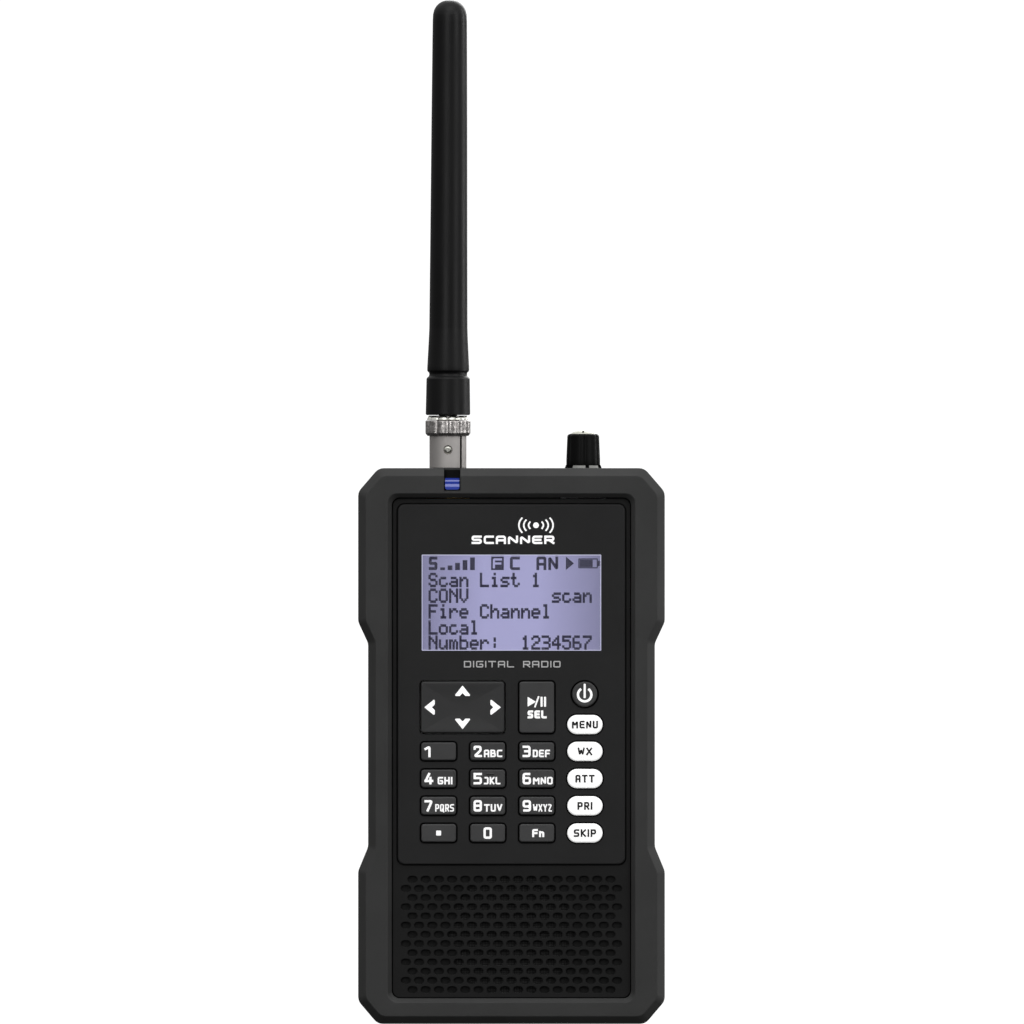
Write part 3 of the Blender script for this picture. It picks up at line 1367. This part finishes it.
# ---------------------------------------------------------------- volume knob and squelch ring
KNOB_FLUTES = 6
KNOB_SIDE = [(4.38, 145.7), (4.42, 145.95), (4.41, 147.4), (4.16, 153.3), (4.06, 153.62)]
KNOB_SIDE += [(3.78, 153.86), (3.4, 153.98)]
KNOB_BORE = 1.9
DISC_SIDE = [(3.2, 153.82), (3.22, 153.98), (3.12, 154.12), (2.5, 154.42), (1.6, 154.68), (0.7, 154.84)]
FLUTE_ANGLE = 5.5
FLUTE_DEPTH = 0.065
# Bright flats of the ring: the angle of their middle from the front, and half their width.
RING_FLATS = ((-14, 21), (37, 18), (166, 21), (217, 18))


def flute(angle, radius):
    """Narrow grooves down the side of the knob, one of them facing the front."""
    if radius < 2.7:
        return 1.0
    pitch = 360 / KNOB_FLUTES
    away = (math.degrees(angle) - 270 + pitch / 2) % pitch - pitch / 2
    return 1 - FLUTE_DEPTH * math.exp(-((away / FLUTE_ANGLE) ** 2))


def make_knob():
    bore = [(3.24, 153.8), (KNOB_BORE, 153.8), (KNOB_BORE, 145.7)]
    knob = lathe(KNOB_SIDE + bore, KNOB_FLUTES * 32, flute)
    piece_of("fluted_knob", upright(knob, KNOB_X), KNOB, "knob", ["volume_knob"], angle=50)
    cap = lathe([(0, 153.82), *DISC_SIDE, (0, 154.88)], 72)
    piece_of("knob_disc", upright(cap, KNOB_X), DISC, "knob", ["knob_cap"])
    pip = [(0, -0.3), (0.2, -0.23), (0.3, 0), (0.2, 0.23), (0, 0.3)]
    dot = lathe(pip, 24).move(0, -2.55, 154.5)
    piece_of("pointer_dot", upright(dot, KNOB_X), KNOB, "knob")


def make_squelch():
    """A low ring with bright flats let into its flared side."""
    side = [(1.9, 145.01), (4.74, 145.01), (4.82, 145.1), (4.57, 145.7), (4.54, 145.84)]
    side += [(4.46, 145.84), (4.46, 145.5), (1.9, 145.5)]
    ring = lathe(side, 96)
    piece_of("squelch_base", upright(ring, KNOB_X), DULL, "squelch", ["squelch_ring"])
    facets = Shape()
    for middle, half in RING_FLATS:
        angles = [math.radians(middle - 90 + half * (step / 3 - 1)) for step in range(7)]
        rows = []
        for radius, z in ((4.84, 145.04), (4.57, 145.7)):
            row = [(radius + 0.05, a) for a in angles] + [(radius - 0.3, a) for a in reversed(angles)]
            rows.append(facets.loop([(reach * math.cos(a), reach * math.sin(a), z) for reach, a in row]))
        facets.skin(rows)
    piece_of("squelch_flats", upright(facets, KNOB_X), SATIN, "squelch")


make_knob()
make_squelch()


# ---------------------------------------------------------------- helpers for parts at the back
def prism(side, x0, x1):
    """A solid whose side view [(y, z), ...] runs from one X to another."""
    shape = Shape()
    shape.skin([shape.loop([(x, y, z) for y, z in side]) for x in (x0, x1)])
    return shape


def wire(path, radius, sides=10):
    """A round wire along a path of points."""
    shape = Shape()
    rings = []
    up = Vector((1, 0, 0))
    for i, point in enumerate(path):
        ahead = Vector(path[min(i + 1, len(path) - 1)]) - Vector(path[max(i - 1, 0)])
        across = ahead.cross(up).normalized()
        lift = across.cross(ahead).normalized()
        ring = []
        for k in range(sides):
            angle = 2 * math.pi * k / sides
            ring.append(Vector(point) + (across * math.cos(angle) + lift * math.sin(angle)) * radius)
        rings.append(shape.loop(ring))
    shape.skin(rings)
    return shape


def make_screw(name, x, y, z, body="radio", radius=1.6, turn=0.0):
    """A pan head with a cross recess, facing the back."""
    side = [(0, -0.6), (radius, -0.6), (radius, 0.0)]
    side += [(radius * 0.86, 0.28), (radius * 0.5, 0.42), (0, 0.46)]
    head = lathe(side, 40)
    arm = radius * 0.62
    slots = (block(-arm, arm, -0.17, 0.17, 0.1, 1), block(-0.17, 0.17, -arm, arm, 0.1, 1))
    mesh = carve(head.data("head"), *[slot.turn(turn, "Z") for slot in slots])
    mesh.transform(Matrix.Rotation(math.radians(-90), 4, "X"))
    mesh.transform(Matrix.Translation(Vector((x, y, z)) * MM))
    return piece_of(name, mesh, STEEL, body, angle=30)


# ---------------------------------------------------------------- rear case
REAR_FRONT = -3.85
REAR_EDGE = 2.2
CAVITY = (-34.8, 34.8, 74.5, 142.6)
CAVITY_BACK = 15.8
TRAY = (-34.8, 34.8, 3.4, 72.1)
TRAY_FRONT = -0.9
BAY = (-30.4, 30.4, 1.1, 19, 11.5, 69.5)
DOOR = (-31.0, 31.0, 8.0, 72.0)
DOOR_SEAT = 15.9
DOOR_RADIUS = 3.0
DOOR_FOOT_RADIUS = 1.3
DOOR_GAP = 0.3
JACK_HOLE = 5.0
POT_HOLE = 3.8
SIDE_GROOVES = 13
GROOVE_LOW = 54.0
GROOVE_PITCH = 3.2
GROOVE_DEPTHS = (1.0, 14.0)
SOCKET_HOLES = 33
CASE_SCREWS = ((-34.7, 16), (34.7, 16), (-32.5, 134), (32.5, 134))


def upright_hole(radius, x):
    points = lathe([(0, 140), (radius, 140), (radius, 146), (0, 146)], 48)
    return upright(points, x)


def sideways(rings):
    """A solid of side outlines at a run of distances to the right."""
    return solid([(-x, outline) for x, outline in rings]).turn(90, "Z")


def side_slab(outline, x0, x1):
    return sideways([(x0, outline), (x1, outline)])


def door_outline(grow):
    """Outline of the door; its foot has tighter corners so that they clear the case as it swings."""
    foot = max(DOOR_FOOT_RADIUS + grow, 0.3)
    head = DOOR_RADIUS + grow
    corners = grown(DOOR, grow)
    points = []
    for k, radius in enumerate((foot, foot, head, head)):
        points += arc_corner(corners[k - 1], corners[k], corners[(k + 1) % 4], radius, 15)
    return points


def side_grooves():
    """Grip grooves across both sides of the waist."""
    grooves = []
    for side in (-1, 1):
        x0, x1 = sorted((side * (WAIST_HALF - 0.5), side * (WAIST_HALF + 1)))
        for k in range(SIDE_GROOVES):
            z = GROOVE_LOW + k * GROOVE_PITCH
            grooves.append(block(x0, x1, *GROOVE_DEPTHS, z - 0.55, z + 0.55))
    return merged(*grooves)


def make_rear_case():
    """A shell with a board cavity, a cell bay, a seat for the door and holes for all that passes it."""
    edge = [(REAR_FRONT, 0.4), (REAR_FRONT, 0), (BACK - REAR_EDGE, 0), (BACK, REAR_EDGE)]
    shell = solid([(y, body_outline(inset)) for y, inset in soft_path(edge, 0.9)])
    y0, y1, z0, z1 = side_of("port_cover")
    pocket = rectangle(y0 - 0.3, y1 + 0.6, z0 - 0.3, z1 + 0.3, 1.4)
    audio = centre_mm("audio_jack")
    tools = [
        slab(rectangle(*CAVITY, 2), PARTING - 2, CAVITY_BACK),
        slab(rectangle(*TRAY, 2), PARTING - 2, TRAY_FRONT),
        block(*BAY),
        slab(door_outline(DOOR_GAP), DOOR_SEAT, BACK + 1),
        upright_hole(JACK_HOLE, ANTENNA_X),
        upright_hole(POT_HOLE, KNOB_X),
        side_slab(pocket, box_mm("port_cover")[0].x - 0.3, HALF_WIDTH + 1),
        side_slab(grown(side_of("usb_socket"), 0.3, 1.1), SOCKET_HOLES, HALF_WIDTH),
        side_slab(circle(audio.y, audio.z, 3.3), SOCKET_HOLES, HALF_WIDTH),
        side_grooves(),
    ]
    wells = [slab(circle(x, z, 2.2, 40), BACK - 1.1, BACK + 1) for x, z in CASE_SCREWS]
    mesh = carve(shell.data("rear_case"), *tools, merged(*wells))
    piece_of("rear_shell", mesh, CASE, "radio", ["rear_case"], angle=30)
    for k, (x, z) in enumerate(CASE_SCREWS):
        make_screw(f"case_screw_{k + 1}", x, BACK - 0.75, z, turn=25 + 40 * k)


# ---------------------------------------------------------------- battery door, latch and cells
LATCH_POCKET = (-7.3, 7.3, 59.0, 68.3)
DOOR_FRONT = 16.2
DOOR_GROOVES = 6
DOOR_GROOVE_LOW = 16.0
DOOR_GROOVE_PITCH = 2.6
LATCH_RIDGES = 4


def make_door():
    """The door, with a pocket for its latch, grooves for the thumb and an arrow that points down."""
    path = soft_path([(DOOR_FRONT, 0.3), (DOOR_FRONT, 0), (BACK, 0), (BACK, 0.9)], 0.45)
    door = solid([(y, door_outline(-inset)) for y, inset in path])
    pocket = slab(rectangle(*LATCH_POCKET, 0.8), 16.9, BACK + 1)
    marks = []
    for k in range(DOOR_GROOVES):
        groove = obround(0, DOOR_GROOVE_LOW + DOOR_GROOVE_PITCH * k, 34 - 3 * k, 1.2)
        marks.append(slab(groove, BACK - 0.45, BACK + 1))
    marks.append(slab(rounded([(-2.6, 56.6), (0, 53.2), (2.6, 56.6)], 0.3), BACK - 0.35, BACK + 1))
    mesh = carve(door.data("door"), pocket, merged(*marks))
    piece_of("door_shell", mesh, CASE, "door", ["battery_door"], angle=30)


def make_latch():
    """A sliding button with a saw-toothed back."""
    low, high = box_mm("door_latch")
    side = [(low.y, low.z), (high.y - 0.5, low.z), (high.y - 0.1, low.z + 0.5)]
    pitch = (high.z - low.z - 1.6) / LATCH_RIDGES
    for k in range(LATCH_RIDGES):
        z = low.z + 0.8 + k * pitch
        side += [(high.y, z + 0.1), (high.y, z + pitch * 0.55), (high.y - 0.4, z + pitch * 0.75)]
    side += [(high.y - 0.1, high.z - 0.5), (high.y - 0.5, high.z), (low.y, high.z)]
    shape = prism(side, low.x, high.x)
    piece_of("latch_button", shape, KEY, "latch", ["door_latch"], angle=30, bevel=0.14)


CELL_NUB = 1.2


def make_cells():
    """Four cells with a wrapped can and a bright nub, every other one head down."""
    for k in range(1, 5):
        name = f"cell_{k}"
        low, high = box_mm(name)
        middle = (low + high) / 2
        radius = (high.x - low.x) / 2
        length = high.z - low.z - CELL_NUB
        can = [(0, 0.05), (radius - 0.9, 0.05), (radius - 0.4, 0.25), (radius, 0.8)]
        can += [(radius, length - 0.9), (radius - 0.25, length - 0.35), (radius - 1.2, length), (0, length)]
        nub = [(0, length - 0.3), (2.9, length - 0.3), (2.9, length + 0.9)]
        nub += [(2.6, length + CELL_NUB), (0, length + CELL_NUB)]
        for label, profile, material, slot, taken in (
            ("wrap", can, WRAP, "cell_wrap", [name]),
            ("nub", nub, BRIGHT, "steel", ()),
        ):
            shape = lathe(profile, 48)
            if k % 2 == 0:
                shape.turn(180, "X").move(z=length + CELL_NUB)
            shape.move(middle.x, middle.y, low.z)
            piece_of(f"{name}_{label}", shape, material, "radio", taken, angle=40)


# ---------------------------------------------------------------- port cover and sockets
COVER_BARS = (6.5, 8.0, 9.5)
SHELL_WALL = 0.35
SHELL_DEPTH = 5
# Depth and height of the audio socket's middle.
AUDIO_PLACE = (5.4, 124)


def make_port_cover():
    """A rubber flap with a lip for the fingernail and three short bars."""
    low, high = box_mm("port_cover")
    path = soft_path([(low.x, 0.3), (low.x, 0), (high.x, 0), (high.x, 0.9)], 0.28)
    cover = sideways([(x, grown(side_of("port_cover"), -inset, 1.3 - inset)) for x, inset in path])
    lip = [(low.y + 1.0, low.z + 1.2), (high.y - 1.0, low.z + 1.2)]
    lip += [(high.y - 1.6, low.z + 2.4), (low.y + 1.6, low.z + 2.4)]
    rim = side_slab(rounded(lip, 0.3), high.x - 0.1, high.x + 0.16)
    bars = []
    for up in COVER_BARS:
        z = centre_mm("port_cover").z + up
        bar = rectangle(low.y + 1.5, high.y - 1.5, z - 0.25, z + 0.25, 0.2)
        bars.append(side_slab(bar, high.x - 0.1, high.x + 0.12))
    flap = merged(cover, rim, *bars)
    piece_of("cover_flap", flap, GASKET, "cover", ["port_cover"], angle=35)


def make_usb_socket():
    """A metal shell with a tongue in it."""
    low, high = box_mm("usb_socket")
    outer = rectangle(*side_of("usb_socket"), 1.0)
    inner = grown(side_of("usb_socket"), -SHELL_WALL, 0.7)
    path = [(low.x, outer), (high.x, outer), (high.x, inner), (high.x - SHELL_DEPTH, inner)]
    piece_of("usb_shell", sideways(path), NICKEL, "radio", ["usb_socket"], bevel=0.06)
    y = centre_mm("usb_socket").y
    tongue = block(high.x - SHELL_DEPTH, high.x - 0.8, y - 0.25, y + 0.25, low.z + 1.2, high.z - 1.2)
    piece_of("usb_tongue", tongue, CASE, "radio", bevel=0.1)


def make_audio_socket():
    """A dark barrel with a brass contact inside its mouth."""
    low, high = box_mm("audio_jack")
    reach = high.x - low.x
    barrel = [(0, 0), (3, 0), (3, reach - 0.3), (2.7, reach), (1.95, reach)]
    barrel += [(1.8, reach - 0.2), (1.8, 3), (0, 3)]
    band = [(1.62, reach - 1.4), (1.79, reach - 1.4), (1.79, reach - 0.5), (1.62, reach - 0.5)]
    shape = lathe(barrel, 48).turn(90, "Y").move(low.x, *AUDIO_PLACE)
    piece_of("audio_barrel", shape, CASE, "radio", ["audio_jack"])
    shape = lathe(band, 40).turn(90, "Y").move(low.x, *AUDIO_PLACE)
    piece_of("audio_contact", shape, BRASS, "radio")


# ---------------------------------------------------------------- belt clip
CLIP_PIVOT = (22.8, 118.0)
CLIP_HALF = 9.0
# Side of the lever round its pivot: the hooked foot first, then the back and the thumb end.
LEVER_SIDE = [(2.2, -34), (1.7, -36.2), (-1.4, -40), (-0.2, -42.2), (0.8, -41.8), (0.4, -40.2)]
LEVER_SIDE += [(3.4, -37), (4, -34), (4, 7.6), (3.6, 8.7), (3.0, 9), (2.2, 8.5)]
THUMB_GROOVES = 4
BRACKET_PLATE = (-12.5, 12.5, 110.0, 125.5)
BRACKET_FRONT = 18.3
BRACKET_BACK = 20.3
EARS = (9.3, 11.8)
EAR_RADIUS = 2.4
EAR_HALF = 3.4
KNUCKLE_GAP = 4.3
SPRING_TURNS = 6
SPRING_STEPS = 18
SPRING_RADIUS = 1.75
SPRING_REACH = 3.4
CLIP_SCREWS = ((-10.7, 112.2), (10.7, 112.2), (-10.7, 123.5), (10.7, 123.5))


def crossbar(radius, x0, x1, ease):
    """A bar along X through the clip's pivot, with eased ends."""
    length = x1 - x0
    ends = [(0, 0), (radius - ease, 0), (radius, ease)]
    profile = ends + [(r, length - z) for r, z in reversed(ends)]
    return lathe(profile, 40).turn(90, "Y").move(x0, *CLIP_PIVOT)


def both_sides(x0, x1):
    """The same span to the left and to the right."""
    return (("left", -x1, -x0), ("right", x0, x1))


def make_clip_lever():
    """The sprung lever, with a slot down its back and grooves for the thumb, and its knuckles."""
    pivot_y, pivot_z = CLIP_PIVOT
    side = [(pivot_y + y, pivot_z + z) for y, z in rounded(LEVER_SIDE, 0.35, 20)]
    cuts = []
    for k in range(THUMB_GROOVES):
        z = pivot_z + 1.6 + 1.6 * k
        cuts.append(block(-6.5, 6.5, pivot_y + 3.55, pivot_y + 5, z - 0.35, z + 0.35))
    cuts.append(slab(rectangle(-2.6, 2.6, pivot_z - 30, pivot_z - 8, 2.5), pivot_y + 3.5, pivot_y + 5))
    mesh = carve(prism(side, -CLIP_HALF, CLIP_HALF).data("lever"), merged(*cuts))
    piece_of("clip_blade", mesh, PAINTED, "clip", ["clip_lever"], angle=28, bevel=0.22)
    for label, x0, x1 in both_sides(KNUCKLE_GAP, CLIP_HALF):
        web = block(x0 + 0.1, x1 - 0.1, pivot_y, pivot_y + 2.8, pivot_z - 2.1, pivot_z + 2.1)
        knuckle = merged(crossbar(2.3, x0, x1, 0.3), web)
        piece_of(f"clip_knuckle_{label}", knuckle, PAINTED, "clip", ["clip_lever"], angle=35)


def make_clip_bracket():
    """The bracket's plate with two ears, and the pin through them."""
    pivot_y, pivot_z = CLIP_PIVOT
    wide = rectangle(*BRACKET_PLATE, 1.5)
    eased = grown(BRACKET_PLATE, -0.3, 1.2)
    plate = solid([(BRACKET_FRONT, wide), (BRACKET_BACK - 0.3, wide), (BRACKET_BACK, eased)])
    piece_of("clip_plate", plate, PAINTED, "radio", ["clip_bracket"], angle=50)
    side = [(BRACKET_BACK - 0.5, pivot_z - EAR_HALF), (BRACKET_BACK, pivot_z - EAR_HALF)]
    side += arc(pivot_y, pivot_z, EAR_RADIUS, EAR_RADIUS, -90, 180, 12)
    side += [(BRACKET_BACK, pivot_z + EAR_HALF), (BRACKET_BACK - 0.5, pivot_z + EAR_HALF)]
    for label, x0, x1 in both_sides(*EARS):
        ear = prism(side, x0, x1)
        piece_of(f"clip_ear_{label}", ear, PAINTED, "radio", ["clip_bracket"], bevel=0.15)
    reach = EARS[1] + 0.25
    pin = crossbar(1.0, -reach, reach, 0.25)
    piece_of("clip_hinge_pin", pin, STEEL, "radio", ["clip_pin"], angle=35)


def make_clip_spring():
    """A coil round the hinge pin, and the four screws of the bracket."""
    pivot_y, pivot_z = CLIP_PIVOT
    steps = SPRING_TURNS * SPRING_STEPS
    turns = arc(pivot_y, pivot_z, SPRING_RADIUS, SPRING_RADIUS, 0, 360 * SPRING_TURNS, steps)
    coil = [(SPRING_REACH * (2 * k / steps - 1), y, z) for k, (y, z) in enumerate(turns)]
    piece_of("clip_coil", wire(coil, 0.35), STEEL, "radio", ["clip_spring"], angle=80)
    for k, (x, z) in enumerate(CLIP_SCREWS):
        make_screw(f"clip_screw_{k + 1}", x, BRACKET_BACK, z, radius=1.35, turn=15 + 35 * k)


make_rear_case()
make_door()
make_latch()
make_cells()
make_port_cover()
make_usb_socket()
make_audio_socket()
make_clip_lever()
make_clip_bracket()
make_clip_spring()


# ---------------------------------------------------------------- CAD parts that stay as they are
def dress(material, *names):
    """Gives CAD parts that are shown as they stand a full material."""
    for name in names:
        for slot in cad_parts[name].material_slots:
            slot.material = material


dress(STEEL, "lcd_frame", "volume_pot")
dress(MAT, "keypad_mat")
dress(BOARD, "main_board")
dress(CASE, "memory_card", "nav_pivot")
dress(CONE, "speaker")
dress(NICKEL, "bnc_jack", "antenna_plug", "battery_contacts_bottom", "battery_contacts_top")
dress(BRASS, "bnc_nut", "pot_nut", "antenna_helix")


# ---------------------------------------------------------------- camera and light
# Width of the picture and its middle on the radio, in millimetres.
FRAME_WIDTH = 267.1
FRAME_CENTRE = (0.14, 133.55)
LENS = 1400.0
SENSOR = 36.0
# Share of the way from straight down to straight up, and how bright the sky is there.
SKY = ((0.0, 0.02), (0.42, 0.05), (0.52, 0.16), (0.75, 0.5), (1.0, 0.75))
SKY_STRENGTH = 1.5
BACKDROP = 0.72
LIGHT_TARGET = (0, 0, 0.08)
# Name, place, width and height in metres, and power in watts.
LIGHTS = (
    ("top_softbox", (0.0, -0.9, 1.3), (1.2, 1.2), 6.4),
    ("left_softbox", (-0.5, -1.65, 0.5), (0.6, 1.1), 5.4),
    ("right_softbox", (1.15, -1.1, 0.5), (0.5, 1.1), 5.6),
    ("right_rim_strip", (0.95, 0.3, 0.25), (0.16, 1.2), 4),
    ("back_softbox", (0.5, 1.7, 0.9), (1.2, 1.2), 16),
)


def make_camera():
    """A distant camera with a long lens, square to the radio's front."""
    data = bpy.data.cameras.new("camera")
    data.lens = LENS
    data.sensor_width = SENSOR
    data.clip_end = 50
    distance = FRAME_WIDTH * LENS / SENSOR
    camera = make_object("camera", data)
    camera.location = Vector((FRAME_CENTRE[0], FRONT - distance, FRAME_CENTRE[1])) * MM
    camera.rotation_euler = (math.radians(90), 0, 0)
    bpy.context.scene.camera = camera


def soft_light(name, place, size, power):
    """A rectangular lamp that faces the radio."""
    data = bpy.data.lights.new(name, "AREA")
    data.shape = "RECTANGLE"
    data.size, data.size_y = size
    data.energy = power
    lamp = make_object(name, data)
    lamp.location = place
    lamp.rotation_euler = (Vector(LIGHT_TARGET) - Vector(place)).to_track_quat("-Z", "Y").to_euler()


def make_world():
    """A white backdrop for the camera, and for light a sky that is dark below and bright above."""
    world = bpy.data.worlds.new("studio")
    world.use_nodes = True
    bpy.context.scene.world = world
    nodes = world.node_tree.nodes
    link = world.node_tree.links.new
    place = nodes.new("ShaderNodeTexCoord")
    parts = nodes.new("ShaderNodeSeparateXYZ")
    link(place.outputs["Generated"], parts.inputs["Vector"])
    ramp = nodes.new("ShaderNodeValToRGB")
    ramp.color_ramp.elements[0].position = SKY[0][0]
    ramp.color_ramp.elements[1].position = SKY[-1][0]
    for position, _ in SKY[1:-1]:
        ramp.color_ramp.elements.new(position)
    for element, (_, level) in zip(ramp.color_ramp.elements, SKY):
        element.color = (*grey(level), 1)
    lift = nodes.new("ShaderNodeMapRange")
    lift.inputs["From Min"].default_value = -1
    link(parts.outputs["Z"], lift.inputs["Value"])
    link(lift.outputs["Result"], ramp.inputs["Fac"])
    path = nodes.new("ShaderNodeLightPath")
    choice = nodes.new("ShaderNodeMix")
    choice.data_type = "RGBA"
    link(path.outputs["Is Camera Ray"], choice.inputs["Factor"])
    link(ramp.outputs["Color"], choice.inputs["A"])
    choice.inputs["B"].default_value = (*grey(BACKDROP), 1)
    sky = nodes["Background"]
    link(choice.outputs["Result"], sky.inputs["Color"])
    sky.inputs["Strength"].default_value = SKY_STRENGTH


make_camera()
make_world()
for light in LIGHTS:
    soft_light(*light)
bpy.context.scene.view_settings.view_transform = "Standard"
